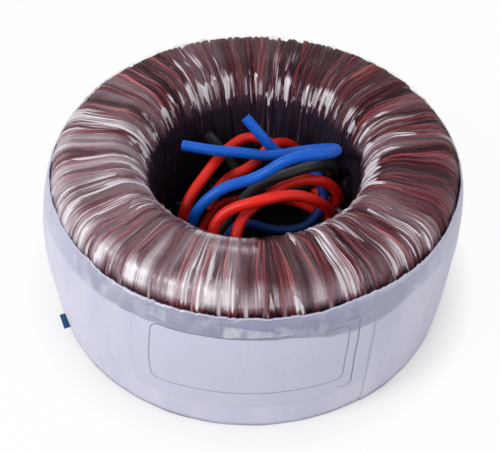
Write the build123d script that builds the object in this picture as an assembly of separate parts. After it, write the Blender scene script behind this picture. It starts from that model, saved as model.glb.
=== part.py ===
"""A toroidal mains transformer, in millimetres.

It lies on its flat underside, +Z up, with the leads' front at -Y. The origin is on the surface
it rests on, under the middle of the tape band. From the middle outwards it is a strip-wound
steel core in an insulating coat, a primary winding, a film layer, a secondary winding whose
turns show, a clear film wrap gathered at the bore, and a tape band with a label. Five
flexible leads come out of splice sleeves in the bore and are tucked into it.
"""

import math
import os

from build123d import *

# ---- Core, a roll of steel strip
core_inner_radius = 41.5
core_width = 12.0
core_height = 34.0
strip_thickness = 0.35
strip_weld_width = 6.0
strip_weld_height = 0.4

# ---- Core insulation
fit_gap = 0.1  # between layers that lie on each other
liner_thickness = 0.6
end_ring_thickness = 1.0
coat_thickness = 0.5
coat_corner_radius = 1.6

# ---- Primary winding and the film over it
primary_bore_build = 3.3
primary_outer_build = 2.6
primary_end_build = 3.2
primary_exponent = 3.4
barrier_thickness = 0.5

# ---- All that is wound over the primary, up to the outside of the clear film
over_bore_build = 6.6
over_outer_build = 4.4
over_end_build = 5.4
bore_exponent = 2.635  # of the section's bore half: 2 is an ellipse, a large one a rectangle
shoulder_exponent = 3.8  # of its outer half, which fills the band
wound_offset = 1.5  # the ring's axis stands this far to +X of the band's
seat_angle = 10.5  # the crest is flat this many degrees to each side of its middle
section_rows = 18  # points round a section

# ---- Secondary winding
turn_ridges = 72  # each ridge is a few strands laid side by side
turn_relief = 0.75
turn_lean = 1.6  # degrees by which a turn's outside runs ahead of its bore side

# ---- Clear film wrap
film_turns = 48
film_thickness = 0.35
film_relief = 0.95  # how far the gathers stand off the lowest film
lap_step = 0.45  # the edge of a turn on the next one, at the outside
lap_angle = 0.55  # the width of that edge, in degrees
gather_share = 0.5  # where in a turn its gather stands, from its edge on
film_gap = 0.3  # to the turns under it

# ---- Tape band round the outside
band_stand_off = 2.7  # from the wound ring, where the band is widest
band_wide_drop = 0.3  # that is this far below the ring's middle
band_breaks = (-21.0, 5.0, 13.0)  # the tape's flats break at these heights from there, too
band_foot_draw = 1.2  # how much smaller the radius is at the foot, and at the rim
band_rim_draw = 3.2
band_foot_height = 0.3
band_rim_drop = 6.9  # below the ring's top
band_thickness = 0.35
band_columns = 72
band_crease = 0.16  # soft upright creases
rim_wave = 0.5
band_seam_angle = 300.6  # where the tape's outer end lies
band_seam_span = 70.0  # over this angle the end's thickness fades out

# ---- Label, and the clear strip over the top of the band
label_thickness = 0.1
label_from_angle = 240.0
label_to_angle = 300.0
label_foot_drop = 15.0  # below the band's widest height
label_height = 30.5
strip_gap = 0.05  # under each layer on the band
over_strip_thickness = 0.1
over_strip_lap = 1.5  # how far it reaches down over the label
over_strip_top_drop = 1.5  # below the band's rim

# ---- Anchor tape under the foot of the band
anchor_angle = 203.0
anchor_width = 6.0
anchor_show = 1.4  # its end shows this far past the foot of the band
anchor_bend_inset = 2.2  # inside the foot it starts to climb the wound ring
anchor_climb_length = 6.0
anchor_thickness = 0.12
anchor_rise = 0.75

# ---- Leads and their splice sleeves
lead_diameter = 3.4
sleeve_wall = 0.5
sleeve_gap = 0.15
sleeve_length = 9.0
sleeve_overlap = 4.0  # the sleeve covers this much of the lead

# ---- Worked out from the sizes above, from the core outwards
core_outer_radius = core_inner_radius + core_width
liner_inner_radius = core_inner_radius - fit_gap - liner_thickness
liner_outer_radius = core_outer_radius + strip_weld_height + fit_gap + liner_thickness
coat_build = coat_thickness + 2 * fit_gap
bore_radius = liner_inner_radius - coat_build - primary_bore_build - over_bore_build
wound_radius = liner_outer_radius + coat_build + primary_outer_build + over_outer_build
end_build = end_ring_thickness + coat_build + primary_end_build + over_end_build
wound_height = core_height + 2 * end_build
band_radius = wound_radius + band_stand_off
band_foot_radius = band_radius - band_foot_draw
band_rim_radius = band_radius - band_rim_draw
band_wide_height = wound_height / 2 - band_wide_drop
band_rim_height = wound_height - band_rim_drop
label_foot_height = band_wide_height - label_foot_drop
label_top_height = label_foot_height + label_height
SECTION_MIDDLE = wound_height / 2
HALF_TURN = 180.0


def superellipse(inner, outer, half_height, exponent, angle):
    """(radius, height above the section's middle) of a superellipse's point at an angle."""
    middle = (inner + outer) / 2
    half_width = (outer - inner) / 2
    across = math.cos(math.radians(angle))
    up = math.sin(math.radians(angle))
    radius = middle + half_width * math.copysign(abs(across) ** (2 / exponent), across)
    return radius, half_height * math.copysign(abs(up) ** (2 / exponent), up)


def row_angle(row):
    """The angle of a section's row. The two rows beside each crest bound its flat."""
    quarter_rows = section_rows // 2
    side, step = divmod(row, quarter_rows)
    first = seat_angle - 90
    last = 90 - seat_angle
    return side * HALF_TURN + first + (last - first) * step / (quarter_rows - 1)


def wound_point(row, inset):
    """(radius, height) on the wound ring's section, inset from its outside."""
    exponent = shoulder_exponent if row < section_rows // 2 else bore_exponent
    radius, rise = superellipse(
        bore_radius + inset,
        wound_radius - inset,
        wound_height / 2 - inset,
        exponent,
        row_angle(row),
    )
    if is_seat(row):
        rise = math.copysign(wound_height / 2 - inset, rise)
    return radius, SECTION_MIDDLE + rise


def is_seat(row):
    """Whether a row lies beside the flat of the crest at the top or at the foot."""
    return row % (section_rows // 2) in (0, section_rows // 2 - 1)


def placed(radius, angle, height, shift=0.0):
    """A point at a radius, an angle in degrees and a height about an upright axis."""
    turn = math.radians(angle)
    return Vector(shift + radius * math.cos(turn), radius * math.sin(turn), height)


def facets(grid, closed):
    """A solid between columns of points, each a closed loop round a section."""
    columns = len(grid)
    rows = len(grid[0])
    faces = []
    for column in range(columns if closed else columns - 1):
        here = grid[column]
        ahead = grid[(column + 1) % columns]
        for row in range(rows):
            above = (row + 1) % rows
            faces.append(polygon(here[row], ahead[row], ahead[above]))
            faces.append(polygon(here[row], ahead[above], here[above]))
    if not closed:
        faces += end_facets(grid[0]) + end_facets(grid[-1])
    return Solid(Shell(faces))


def end_facets(loop):
    """The faces that close a loop of outside points followed by inside points."""
    last = len(loop) - 1
    faces = []
    for row in range(len(loop) // 2 - 1):
        faces.append(polygon(loop[row], loop[row + 1], loop[last - row - 1]))
        faces.append(polygon(loop[row], loop[last - row - 1], loop[last - row]))
    return faces


def polygon(*corners):
    """A flat face with the given corners."""
    return Face(Wire.make_polygon(corners, close=True))


def turned(outline, shift):
    """A solid of revolution from (radius, height) corners, about the axis at x = shift."""
    wire = Wire.make_polygon([Vector(radius, 0, height) for radius, height in outline], close=True)
    return Pos(shift, 0, 0) * revolve(Face(wire), Axis.Z)


def wound_outline(inset):
    """The wound ring's section as (radius, height) corners."""
    return [wound_point(row, inset) for row in range(section_rows)]


def uneven(index, seed):
    """A repeatable value from 0 to 1 that differs from one turn to the next."""
    value = math.sin(12.9898 * index + 78.233 * seed) * 43758.5453
    return value - math.floor(value)


# ---- Core and its insulation


def make_core():
    """The strip roll, with the step at each end of the strip and the weld that holds the last turn."""
    outer = spiral_face(core_outer_radius - strip_thickness, core_outer_radius)
    inner = spiral_face(core_inner_radius, core_inner_radius + strip_thickness)
    core = extrude(outer - inner, core_height)
    weld = Box(strip_weld_height, strip_weld_width, core_height / 2)
    weld_place = Pos(core_outer_radius, 0, core_height / 2)
    core += weld_place * weld
    return Pos(wound_offset, 0, SECTION_MIDDLE - core_height / 2) * core


def spiral_face(small, large):
    """A disc whose radius grows from small to large over a turn and steps back at angle 0."""
    # Two half circles of different sizes, joined by the step
    middle = (small + large) / 2
    first = ThreePointArc((small, 0), ((small - middle) / 2, (small + middle) / 2), (-middle, 0))
    second = ThreePointArc((-middle, 0), ((large - middle) / 2, -(middle + large) / 2), (large, 0))
    step = Line((large, 0), (small, 0))
    return make_face(Curve() + [first, second, step])


def make_end_ring(upper):
    """A pressboard ring on an end of the core."""
    ring = ring_band(liner_inner_radius, liner_outer_radius, end_ring_thickness)
    if upper:
        foot = SECTION_MIDDLE + core_height / 2
    else:
        foot = SECTION_MIDDLE - core_height / 2 - end_ring_thickness
    return Pos(wound_offset, 0, foot) * ring


def ring_band(inner, outer, height):
    """An upright tube that stands on z = 0."""
    return extrude(Circle(outer) - Circle(inner), height)


def make_bore_liner():
    """A pressboard strip round the inside of the core."""
    tube = ring_band(liner_inner_radius, core_inner_radius - fit_gap, core_height)
    return Pos(wound_offset, 0, SECTION_MIDDLE - core_height / 2) * tube


def make_rim_liner():
    """A pressboard strip round the outside of the core."""
    tube = ring_band(liner_outer_radius - liner_thickness, liner_outer_radius, core_height)
    return Pos(wound_offset, 0, SECTION_MIDDLE - core_height / 2) * tube


def coat_size(thickness):
    """(inner radius, outer radius, half height) of the coat at a depth through its tape."""
    off = fit_gap + thickness
    half_height = core_height / 2 + end_ring_thickness + off
    return liner_inner_radius - off, liner_outer_radius + off, half_height


def boxed_ring(size, corner_radius):
    """A ring of rectangular section, with rounded edges if it has a corner radius."""
    inner, outer, half_height = size
    section = Rectangle(outer - inner, 2 * half_height)
    if corner_radius:
        section = fillet(section.vertices(), corner_radius)
    place = Plane.XZ * Pos((inner + outer) / 2, SECTION_MIDDLE)
    return Pos(wound_offset, 0, 0) * revolve(place * section, Axis.Z)


def make_coat():
    """The tape wound round the core, its liners and its end rings."""
    outside = boxed_ring(coat_size(coat_thickness), coat_corner_radius)
    return outside - boxed_ring(coat_size(0), 0)


# ---- Windings and film


def primary_size():
    """(inner radius, outer radius, half height) of the primary's outside."""
    inner, outer, half_height = coat_size(coat_thickness + fit_gap)
    return (
        inner - primary_bore_build,
        outer + primary_outer_build,
        half_height + primary_end_build,
    )


def layer(off):
    """A ring whose outside stands off the primary's by a distance."""
    inner, outer, half_height = primary_size()
    outline = []
    for row in range(section_rows):
        radius, rise = superellipse(
            inner - off, outer + off, half_height + off, primary_exponent, row_angle(row)
        )
        outline.append((radius, SECTION_MIDDLE + rise))
    return turned(outline, wound_offset)


def make_primary():
    """The inner winding, on the coat."""
    room = coat_size(coat_thickness + fit_gap)
    return layer(0) - boxed_ring(room, coat_corner_radius)


def make_barrier():
    """The film between the two windings."""
    return layer(fit_gap + barrier_thickness) - layer(fit_gap)


def make_secondary():
    """The outer winding: ridges of strands that lean from the bore to the outside."""
    crest_inset = film_relief + film_thickness + film_gap
    grid = []
    for column in range(2 * turn_ridges):
        on_crest = column % 2
        loop = []
        for row in range(section_rows):
            strand = 0.35 * turn_relief * uneven(column // 2, row // 3 + 1)
            inset = crest_inset + (strand if on_crest else turn_relief)
            radius, height = wound_point(row, inset)
            reach = (radius - bore_radius) / (wound_radius - bore_radius)
            angle = 360 * column / (2 * turn_ridges) + turn_lean * reach
            loop.append(placed(radius, angle, height, wound_offset))
        grid.append(loop)
    return facets(grid, closed=True) - layer(2 * fit_gap + barrier_thickness)


def film_rise(turn, part, row):
    """How far the film stands off its lowest surface, at the three parts of a turn."""
    if is_seat(row):
        return film_relief
    radius, _ = wound_point(row, 0)
    outside = (radius - bore_radius) / (wound_radius - bore_radius)
    lap = lap_step * (0.6 + 0.4 * uneven(turn, 2))
    gather = film_relief * (0.55 + 0.45 * uneven(turn, row // 2 + 3)) * (1 - outside)
    if part == 0:
        return 0.1 * film_relief * uneven(turn, row + 5)
    if part == 1:
        return lap * outside + 0.25 * gather
    return max(gather, 0.45 * lap * outside)


def make_film_wrap():
    """The clear wrap: each turn laps the last at the outside and is gathered in the bore."""
    grid = []
    pitch = 360 / film_turns
    for turn in range(film_turns):
        parts = (0.0, lap_angle, pitch * (gather_share + 0.2 * uneven(turn, 1) - 0.1))
        for part, lead in enumerate(parts):
            loop = []
            for row in range(section_rows):
                inset = film_relief - film_rise(turn, part, row)
                radius, height = wound_point(row, inset)
                loop.append(placed(radius, turn * pitch + lead, height, wound_offset))
            grid.append(loop)
    room = turned(wound_outline(film_relief + film_thickness), wound_offset)
    return facets(grid, closed=True) - room


# ---- Band, label and tapes


def band_rows():
    """(height, radius, shift to +X) where the flats of the band break."""
    rows = []
    breaks = sorted([band_wide_height, *(band_wide_height + rise for rise in band_breaks)])
    for height in (band_foot_height, *breaks, band_rim_height):
        if height < band_wide_height:
            share = (band_wide_height - height) / (band_wide_height - band_foot_height)
            rows.append((height, band_radius - (band_radius - band_foot_radius) * share**2, 0.0))
        else:
            share = (height - band_wide_height) / (band_rim_height - band_wide_height)
            radius = band_radius - (band_radius - band_rim_radius) * share**2
            rows.append((height, radius, wound_offset * share))
    return rows


def band_surface(angle, height, off):
    """A point on the band's outside, or off it by a distance."""
    rows = band_rows()
    below, above = next(
        (pair for pair in zip(rows, rows[1:]) if height <= pair[1][0]), (rows[-2], rows[-1])
    )
    share = (height - below[0]) / (above[0] - below[0])
    radius = below[1] + (above[1] - below[1]) * share
    shift = below[2] + (above[2] - below[2]) * share
    past_seam = (angle - band_seam_angle) % 360 / band_seam_span
    radius += band_thickness * max(0.0, 1 - past_seam) - band_thickness
    radius -= band_crease * uneven(round(angle / (360 / band_columns)), 7)
    return placed(radius + off, angle, height, shift)


def band_layer(angles, heights, inner_off, outer_off, closed):
    """A layer on the band between two distances off it. Heights are (foot, ..., rim)."""
    grid = []
    for angle in angles:
        outside = [band_surface(angle, height(angle), outer_off) for height in heights]
        inside = [band_surface(angle, height(angle), inner_off) for height in reversed(heights)]
        grid.append(outside + inside)
    return facets(grid, closed)


def wavy_rim(top):
    """The height of an edge that was cut by hand, as a function of the angle."""

    def height(angle):
        turn = math.radians(angle)
        return top + rim_wave * (0.6 * math.sin(3 * turn + 1) + 0.4 * math.sin(11 * turn))

    return height


def level(height):
    return lambda angle: height


def band_angles():
    """The band's columns, with one more just before the tape's end for its step."""
    pitch = 360 / band_columns
    even = [column * pitch for column in range(band_columns)]
    return sorted(even + [band_seam_angle - 0.05, band_seam_angle + 0.05])


def breaks_between(low, high):
    """The heights at which the band's flats break, between two others."""
    return [level(height) for height, _, _ in band_rows() if low < height < high]


def make_band():
    heights = [level(height) for height, _, _ in band_rows()[:-1]] + [wavy_rim(band_rim_height)]
    return band_layer(band_angles(), heights, -band_thickness, 0.0, closed=True)


def make_label():
    """A plain paper label."""
    pitch = 360 / band_columns
    count = round((label_to_angle - label_from_angle) / pitch)
    angles = [label_from_angle + column * pitch for column in range(count + 1)]
    foot = label_foot_height
    top = label_top_height
    heights = [level(foot), *breaks_between(foot, top), level(top)]
    return band_layer(angles, heights, strip_gap, strip_gap + label_thickness, closed=False)


def make_over_strip():
    """The clear strip over the label's upper edge and the top of the band."""
    under = 2 * strip_gap + label_thickness
    low = label_top_height - over_strip_lap
    top = band_rim_height - over_strip_top_drop
    heights = [level(low), *breaks_between(low, top - rim_wave), wavy_rim(top)]
    angles = band_angles()
    return band_layer(angles, heights, under, under + over_strip_thickness, closed=True)


def make_anchor_tape():
    """A strip of tape stuck to the underside that shows past the foot of the band."""
    length = anchor_climb_length + anchor_bend_inset + anchor_show
    side = Polygon(
        (0, anchor_rise),
        (anchor_climb_length, 0),
        (length, 0),
        (length, anchor_thickness),
        (anchor_climb_length, anchor_thickness),
        (0, anchor_rise + anchor_thickness),
        align=None,
    )
    strip = extrude(Plane.XZ * side, anchor_width / 2, both=True)
    inner_end = band_foot_radius - anchor_bend_inset - anchor_climb_length
    return Rot(0, 0, anchor_angle) * Pos(inner_end, 0, 0) * strip


# ---- Leads, from the splice to the cut end

ROUTES = {
    "blue_lead_1": [
        (-19.8, -17.4, 14),
        (-17.5, -17, 25),
        (-18, -14, 36),
        (-9, -11.5, 45.5),
        (2.5, -9, 47),
        (11.5, -8.5, 55),
        (24, -6, 54),
        (27, 4.5, 47),
        (18.5, 11.5, 40.5),
        (5.5, 8.5, 40),
        (-1.5, 6.5, 43.5),
        (-12, 7.5, 43.5),
        (-21, 9.5, 44),
    ],
    "blue_lead_2": [
        (-9.2, -25.8, 10.5),
        (-9.5, -21, 17.5),
        (-10, -12.5, 23),
        (-3, -3, 23.5),
        (8, -2.5, 17.5),
        (19.5, -2.5, 19.5),
        (25, 5, 27),
        (19.5, 13, 34),
        (8.5, 13, 37.5),
        (3.5, 13.5, 44.5),
        (-1.5, 17, 49),
    ],
    "red_lead_1": [
        (-1.9, -27.3, 22.4),
        (-5, -24.5, 32),
        (-3, -16.5, 38.5),
        (6.5, -5.5, 37.5),
        (13.5, -2, 40),
        (24.5, 0.5, 37.5),
        (29.5, 2, 26.5),
        (25.5, 10, 18.5),
        (19, 20, 20.5),
        (16, 24, 31.5),
        (7.5, 19, 38),
        (1, 9.5, 35),
        (-9.5, 6.5, 32),
        (-13.5, -2, 27),
    ],
    "red_lead_2": [
        (-8.3, -25.7, 24),
        (-12.5, -22.3, 33),
        (-8.7, -16.9, 41),
        (3.5, -17, 46),
        (13, -12.5, 44),
        (21, -10, 38.5),
        (27, -6, 27.5),
        (25, 4, 17.5),
        (20, 15, 12.5),
        (11.5, 20.5, 10.5),
        (-0.5, 20, 11),
        (-11, 15.5, 13),
        (-15.5, 5, 12),
        (-18.5, -8, 16.5),
        (-21.5, -11.5, 27),
        (-19.5, -8, 36.5),
        (-12, 2.5, 41),
        (-8, 15.5, 37),
        (0.5, 23, 38),
        (9, 24.5, 31),
    ],
    "black_lead": [
        (-15.6, -21.6, 15),
        (-14.4, -19, 25.2),
        (-6.5, -10.5, 32),
        (1, -5, 40),
        (12.5, -3.5, 44.5),
        (21, 1.5, 43),
        (28, 10.5, 34),
        (21.5, 15.5, 23),
        (8, 13, 20.5),
        (-2, 15, 22.5),
        (-7, 20.5, 30),
        (-13.8, 22.4, 37.7),
    ],
}


def corner_radii(points):
    """The largest radius that each corner of a route has room for."""
    corners = [Vector(point) for point in points]
    runs = [ahead - here for here, ahead in zip(corners, corners[1:])]
    radii = []
    for before, after in zip(runs, runs[1:]):
        half_turn = math.radians(before.get_angle(after)) / 2
        radii.append(0.45 * min(before.length, after.length) / math.tan(half_turn))
    return radii


def make_lead(name, points):
    """A round flexible lead along its route, as straight runs and tangent arcs."""
    radii = corner_radii(points)
    path = FilletPolyline(*points, radius=radii)
    section = Plane(origin=path @ 0, z_dir=path % 0) * Circle(lead_diameter / 2)
    lead = sweep(section, path=path)
    share = lead.volume / (math.pi * (lead_diameter / 2) ** 2 * path.length)
    rounded = " ".join(f"{radius:.1f}" for radius in radii)
    print(f"{name}: {path.length:.0f} mm, radii {rounded}, volume {share:.4f} of section x length")
    return lead


def make_sleeve(points):
    """The sleeve over a lead's splice, down the bore wall and over the lead's first stretch."""
    start, ahead = Vector(points[0]), Vector(points[1])
    along = (ahead - start).normalized()
    inner = lead_diameter / 2 + sleeve_gap
    foot = Plane(origin=start - along * (sleeve_length - sleeve_overlap), z_dir=along)
    return extrude(foot * (Circle(inner + sleeve_wall) - Circle(inner)), sleeve_length)


def make_parts():
    """Every piece by name."""
    parts = {
        "core_strip_roll": make_core(),
        "core_end_ring_top": make_end_ring(upper=True),
        "core_end_ring_bottom": make_end_ring(upper=False),
        "core_bore_liner": make_bore_liner(),
        "core_rim_liner": make_rim_liner(),
        "core_tape_coat": make_coat(),
        "primary_winding": make_primary(),
        "winding_barrier_film": make_barrier(),
        "secondary_winding": make_secondary(),
        "clear_film_wrap": make_film_wrap(),
        "tape_band": make_band(),
        "label": make_label(),
        "clear_band_strip": make_over_strip(),
        "anchor_tape": make_anchor_tape(),
    }
    for name, points in ROUTES.items():
        parts[name] = make_lead(name, points)
        parts[name.replace("lead", "splice_sleeve")] = make_sleeve(points)
    return parts


os.makedirs("parts", exist_ok=True)
for part_name, part in make_parts().items():
    export_step(part, f"parts/{part_name}.step")
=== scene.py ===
"""Looks for the toroidal transformer: the copper turns, the film over them, the tape band with
its label and the leads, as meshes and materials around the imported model. Lengths are in metres.
"""

import math

import bmesh
import bpy
import numpy as np
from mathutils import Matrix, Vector


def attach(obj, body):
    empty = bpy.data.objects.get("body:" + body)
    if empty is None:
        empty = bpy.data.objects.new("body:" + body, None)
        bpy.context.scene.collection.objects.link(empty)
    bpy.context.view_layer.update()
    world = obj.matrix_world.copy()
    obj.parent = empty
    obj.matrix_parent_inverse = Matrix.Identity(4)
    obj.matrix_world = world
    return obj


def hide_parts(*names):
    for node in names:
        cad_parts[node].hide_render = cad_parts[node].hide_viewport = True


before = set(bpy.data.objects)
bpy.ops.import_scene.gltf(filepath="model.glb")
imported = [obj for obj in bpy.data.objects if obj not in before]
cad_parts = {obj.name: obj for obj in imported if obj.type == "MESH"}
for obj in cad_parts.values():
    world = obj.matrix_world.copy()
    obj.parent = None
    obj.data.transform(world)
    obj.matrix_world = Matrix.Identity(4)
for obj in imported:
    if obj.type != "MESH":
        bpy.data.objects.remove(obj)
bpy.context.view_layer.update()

MM = 0.001
FULL_TURN = 2 * math.pi

# ---- Sizes of the wound ring
bore_radius = 30.2 * MM
wound_radius = 62.3 * MM
wound_height = 54.6 * MM
bore_exponent = 2.635
shoulder_exponent = 3.8
wound_offset = 1.5 * MM  # the ring's axis stands this far to +X of the band's
seat_rise = 1.013  # the section is this much taller, and cut flat at the crests
section_steps = 2000

strand_count = 310
strand_columns = 6
strand_rows = 44
strand_depth = 0.50 * MM
strand_heights = 6  # of its own round the section, for each strand
strand_lean = math.radians(1.6)
sunk_share = 0.20  # of the strands lie low, between the others
shoulder_swell = 0.9 * MM  # the turns press out against the band by this much

film_columns = 1440
film_rows = 60
film_relief = 0.95 * MM
film_depth = 0.30 * MM  # from the film's lowest surface to the strands' crests
flat_patch_angle = math.radians(257.0)  # the film lies smooth here, at the front

# Places along the section: 0 at mid height in the bore, 0.25 on top and 0.5 outside
bore_shade_places = (0.105, 0.150)  # painted shade: the turns go from nearly black down in the bore to their own colour
shoulder_places = (0.27, 0.34)  # the turns and the film swell out
band_shade_places = (0.350, 0.358)  # painted shade: the turns darken by the band's rim
gather_place, gather_spread = 0.155, 0.050  # the film's gathers, at the bore's rim
pleat_places = (0.08, 0.18)  # its pleats rise
flat_start_places = (0.12, 0.16)  # its smooth patch begins
flat_end_places = (0.25, 0.285)  # and ends
rumple_places, rumple_spreads = (0.205, 0.235), (0.006, 0.005)  # two ridges on the patch
hazy_places = (0.100, 0.125)  # the film goes from clear in the bore to hazy
white_shoulder_places = (0.295, 0.335)  # it gets whiter at the front, partly as painted reflection
clear_shoulder_places = (0.22, 0.30)  # and clearer at the back, with less painted reflection
teeth_places = (0.354, 0.3565)  # it has clear gaps by the band's rim
fold_start = 0.106  # its white folds begin
fold_end_places = (0.150, 0.205)  # and fade

# Shares of the film's relief
gather_lift = 0.75
pleat_lift = 0.42
crinkle_lift = 0.05
rumple_lift = 0.35
shoulder_lift = 0.75

# Shares given every 30 degrees round the ring from +X
# copper_painted_light is painted light and shade: the turns' colour is scaled round the ring by how
# the lights fell, dimmest at the back
copper_painted_light = [0.85, 0.8, 0.6, 0.55, 0.6, 0.85, 1.0, 1.0, 0.95, 0.9, 1.0, 0.9]
film_teeth = [0.6, 0.8, 1.0, 1.0, 0.8, 0.4, 0.1, 0.3, 0.9, 1.0, 1.0, 0.7]
# The film tables set how white the film is round the ring: partly its own milkiness and partly
# painted reflection of the lights, whiter at the front and left, clearer at the back, and for the
# folds whiter along the back and right of the bore's rim
film_share_and_glare = [0.27, 0.21, 0.16, 0.17, 0.27, 0.36, 0.35, 0.33, 0.33, 0.31, 0.28, 0.27]
film_front_glare = [0.1, 0.0, 0.0, 0.0, 0.0, 0.2, 0.6, 1.0, 1.0, 0.95, 0.5, 0.3]
film_back = [0.3, 0.8, 1.0, 1.0, 0.8, 0.3, 0.0, 0.0, 0.0, 0.0, 0.0, 0.0]
film_veil_and_glare = [0.01, 0.01, 0.01, 0.01, 0.01, 0.04, 0.12, 0.22, 0.24, 0.10, 0.02, 0.01]
film_milk_and_glare = [0.34, 0.20, 0.14, 0.16, 0.26, 0.40, 0.62, 0.68, 0.64, 0.42, 0.26, 0.34]
film_folds_and_glints = [0.60, 0.64, 0.66, 0.66, 0.66, 0.62, 0.5, 0.4, 0.35, 0.35, 0.4, 0.5]
strip_grey = [0.05, 0.05, 0.1, 0.1, 0.1, 0.05, 0.02, 0.1, 0.6, 1.0, 0.5, 0.02]

# ---- Sizes of the band, the label and the clear strip
band_columns = 720
band_rows = 26
band_radius = 64.94 * MM
band_wide_height = 27.0 * MM
band_foot_radius = 63.8 * MM
band_rim_radius = 61.8 * MM
band_foot_height = 0.3 * MM
band_rim_height = 47.7 * MM
band_thickness = 0.35 * MM
band_fold = 0.05  # in mm, the depth of its folds and of its creases
foot_dark_heights = (0.5 * MM, 1.3 * MM)  # along the band's foot, the tape darkens below these heights
rim_wave = 0.35 * MM
rim_fray = 0.12 * MM
rim_dip = 0.7 * MM  # along the front
dip_angles = [math.radians(angle) for angle in (222.0, 230.0, 286.0, 294.0)]
rim_curl = 0.3 * MM  # the tape's edge turns in on the turns by this much
curl_height = 2 * MM
seam_angle = math.radians(300.6)
seam_span = math.radians(70.0)
seam_step = 0.0006  # radians, from the seam to the points beside it

label_columns = 376
label_rows = 130
label_from = math.radians(240.0)
label_to = math.radians(300.0)
label_foot_height = 12.0 * MM
label_height = 30.5 * MM
label_thickness = 0.1 * MM
label_gap = 0.05 * MM
frame_left, frame_foot = 5.6, 6.4  # of the label's frame, in mm from the label's corner
frame_width, frame_height, frame_corner = 54.8, 22.4, 2.2  # in mm
second_foot, second_right, second_rise, second_corner = 4.5, 3.0, 6.0, 1.0  # beyond it, in mm
second_start = frame_width - 1  # the second frame is drawn to the right of this alone
ink_width = 0.13  # in mm, over which a line's ink fades out
ink_reach = 1.6  # of these widths from the line's middle, it has faded

strip_rows = 8
strip_foot_height = 41.0 * MM
strip_top_height = 47.6 * MM
strip_thickness = 0.1 * MM
strip_droop = 2.8 * MM  # right of the label's middle
droop_angles = [math.radians(angle) for angle in (276.0, 294.0, 300.0, 316.0)]

# ---- Other values
noise_terms = 14  # waves in one soft noise
lead_diameter = 3.4 * MM
grain_depth = 0.2 * MM
crease_depth = 0.6 * MM
bore_shade_heights = (18 * MM, 46 * MM)  # painted shade: dark low in the bore, full colour above
part_middle = (0, 0, 0.03)
camera_place = (0.0, -196.3 * MM, 218.6 * MM)
camera_fall = math.radians(45.66)  # below level
camera_lens = 62.2  # in mm, on a sensor 36 mm wide
floor_half = 3.0
floor_painted_shade_radii = (0.045, 0.060)  # painted shade: under the part, nearly black and then white
glow_radii = (0.055, 0.075)  # round the part, no glow and then nearly all of it
glow_share = 0.95


# ---- Mesh helpers


def soft_noise(across, along, low, high, wander, seed):
    """Waves of whole-number frequencies from low to high round the ring, each bent slowly along
    the section by wander, added and scaled to about -1 to 1."""
    rng = np.random.default_rng(seed)
    total = np.zeros(np.broadcast(across, along).shape)
    for _ in range(noise_terms):
        turns = rng.integers(low, high + 1)
        bend = rng.uniform(-1, 1)
        phase, second = rng.uniform(0, FULL_TURN), rng.uniform(0, FULL_TURN)
        bent = wander * np.sin(FULL_TURN * along * (1 + abs(bend)) + second) * bend
        total += np.cos(FULL_TURN * turns * across + bent + phase)
    return total / math.sqrt(noise_terms)


def smooth_step(value, low, high):
    """0 below low, 1 above high and a smooth rise between them."""
    share = np.clip((value - low) / (high - low), 0, 1)
    return share * share * (3 - 2 * share)


def rise_and_fall(value, ends):
    """0, then 1 between the second and the third of four ends, and 0 again after the last."""
    return smooth_step(value, ends[0], ends[1]) * (1 - smooth_step(value, ends[2], ends[3]))


def around(across, values):
    """Values at even steps round the ring from angle 0, joined smoothly. across is in turns."""
    ring = np.array(values + values[:1])
    place = np.mod(across, 1) * len(values)
    low = np.floor(place).astype(int) % len(values)
    return ring[low] + (ring[low + 1] - ring[low]) * smooth_step(place - np.floor(place), 0, 1)


def surface(name, points, uv, closed, masks=None):
    """A mesh of quads over a grid of points, indexed (across, along). It is closed along, and
    across too if closed says so. uv holds the grid's own coordinates, one longer than the points
    where it is closed. masks holds a value for each point, by name."""
    columns, rows = points.shape[:2]
    across = np.arange(columns if closed else columns - 1)
    along = np.arange(rows)
    i, j = (a.ravel() for a in np.meshgrid(across, along, indexing="ij"))
    corner_i = np.stack([i, i + 1, i + 1, i], 1)
    corner_j = np.stack([j, j, j + 1, j + 1], 1)
    faces = (corner_i % columns) * rows + corner_j % rows
    mesh = bpy.data.meshes.new(name)
    mesh.vertices.add(columns * rows)
    mesh.vertices.foreach_set("co", points.reshape(-1))
    mesh.loops.add(faces.size)
    mesh.loops.foreach_set("vertex_index", faces.reshape(-1).astype(np.int32))
    mesh.polygons.add(len(faces))
    mesh.polygons.foreach_set("loop_start", np.arange(0, faces.size, 4, dtype=np.int32))
    mesh.update(calc_edges=True)
    mesh.polygons.foreach_set("use_smooth", np.ones(len(faces), bool))
    layer = mesh.uv_layers.new(name="UVMap")
    across_uv, along_uv = uv
    pairs = np.stack([across_uv[corner_i], along_uv[corner_j]], -1)
    layer.data.foreach_set("uv", pairs.reshape(-1))
    for mask_name, values in (masks or {}).items():
        attribute = mesh.attributes.new(mask_name, "FLOAT", "POINT")
        attribute.data.foreach_set("value", values.reshape(-1).astype(np.float32))
    piece = bpy.data.objects.new(name, mesh)
    bpy.context.scene.collection.objects.link(piece)
    return piece


def about_axis(radius, angle, height, shift):
    """Points at a radius, an angle and a height about an upright axis at x = shift."""
    return np.stack(
        np.broadcast_arrays(shift + radius * np.cos(angle), radius * np.sin(angle), height), -1
    )


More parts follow.
